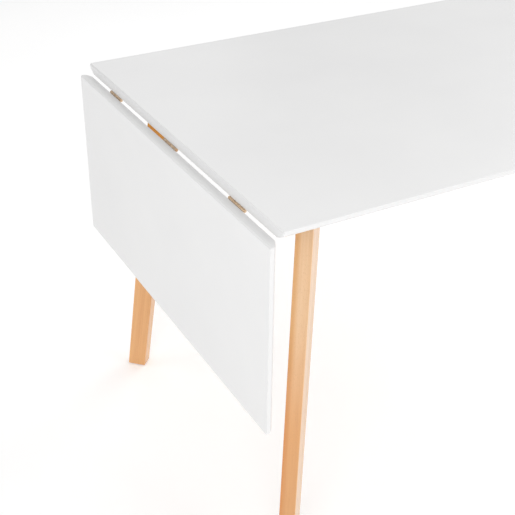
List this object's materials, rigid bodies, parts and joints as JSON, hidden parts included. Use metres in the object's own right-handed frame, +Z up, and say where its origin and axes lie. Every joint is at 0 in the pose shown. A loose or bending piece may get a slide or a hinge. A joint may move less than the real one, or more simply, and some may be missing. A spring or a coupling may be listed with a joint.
{
  "type": "drop-leaf table",
  "caption": "Rectangular table on splayed tapered legs, with a leaf hinged at one end that hangs down or folds up level with the top.",
  "frame": {"origin": "on the floor under the middle of the table's outline, with the leaf hanging", "axes": "+X along the table away from the leaf, +Y across the table to the back, +Z up"},
  "size_m": [1.4262, 0.8, 0.75],
  "materials": {
    "lacquer": "white satin lacquer on fibreboard",
    "beech": "clear matt lacquer on beech",
    "bronze": "bronzed, satin",
    "steel": "zinc plated",
    "glide": "moulded, matt"
  },
  "bodies": {
    "table": {"table_top": "lacquer", "rail_front": "beech", "rail_rear": "beech", "rail_left": "beech", "rail_right": "beech", "support_slat": "beech", "slat_stop_dowel": "beech", "slat_guide_front": "beech", "slat_guide_rear": "beech", "slat_back_stop": "beech", "guide_screw_1": "steel", "guide_screw_2": "steel", "guide_screw_3": "steel", "guide_screw_4": "steel", "leg_front_left": "beech", "glide_front_left": "glide", "corner_bracket_front_left": "steel", "leg_bolt_front_left": "steel", "leg_nut_front_left": "steel", "leg_front_right": "beech", "glide_front_right": "glide", "corner_bracket_front_right": "steel", "leg_bolt_front_right": "steel", "leg_nut_front_right": "steel", "leg_rear_left": "beech", "glide_rear_left": "glide", "corner_bracket_rear_left": "steel", "leg_bolt_rear_left": "steel", "leg_nut_rear_left": "steel", "leg_rear_right": "beech", "glide_rear_right": "glide", "corner_bracket_rear_right": "steel", "leg_bolt_rear_right": "steel", "leg_nut_rear_right": "steel", "hinge_front_table_plate": "bronze", "hinge_front_pin": "bronze", "hinge_front_table_screw_a": "bronze", "hinge_front_table_screw_b": "bronze", "hinge_middle_table_plate": "bronze", "hinge_middle_pin": "bronze", "hinge_middle_table_screw_a": "bronze", "hinge_middle_table_screw_b": "bronze", "hinge_rear_table_plate": "bronze", "hinge_rear_pin": "bronze", "hinge_rear_table_screw_a": "bronze", "hinge_rear_table_screw_b": "bronze"},
    "leaf": {"drop_leaf": "lacquer", "hinge_front_leaf_plate": "bronze", "hinge_front_leaf_screw_a": "bronze", "hinge_front_leaf_screw_b": "bronze", "hinge_middle_leaf_plate": "bronze", "hinge_middle_leaf_screw_a": "bronze", "hinge_middle_leaf_screw_b": "bronze", "hinge_rear_leaf_plate": "bronze", "hinge_rear_leaf_screw_a": "bronze", "hinge_rear_leaf_screw_b": "bronze"}
  },
  "joints": [
    {"name": "leaf_hinge", "type": "hinge", "parent": "table", "child": "leaf", "pos_m": [-0.68763, 0, 0.7289], "axis": [0, 1, 0], "range_deg": [0, 89.3]}
  ]
}
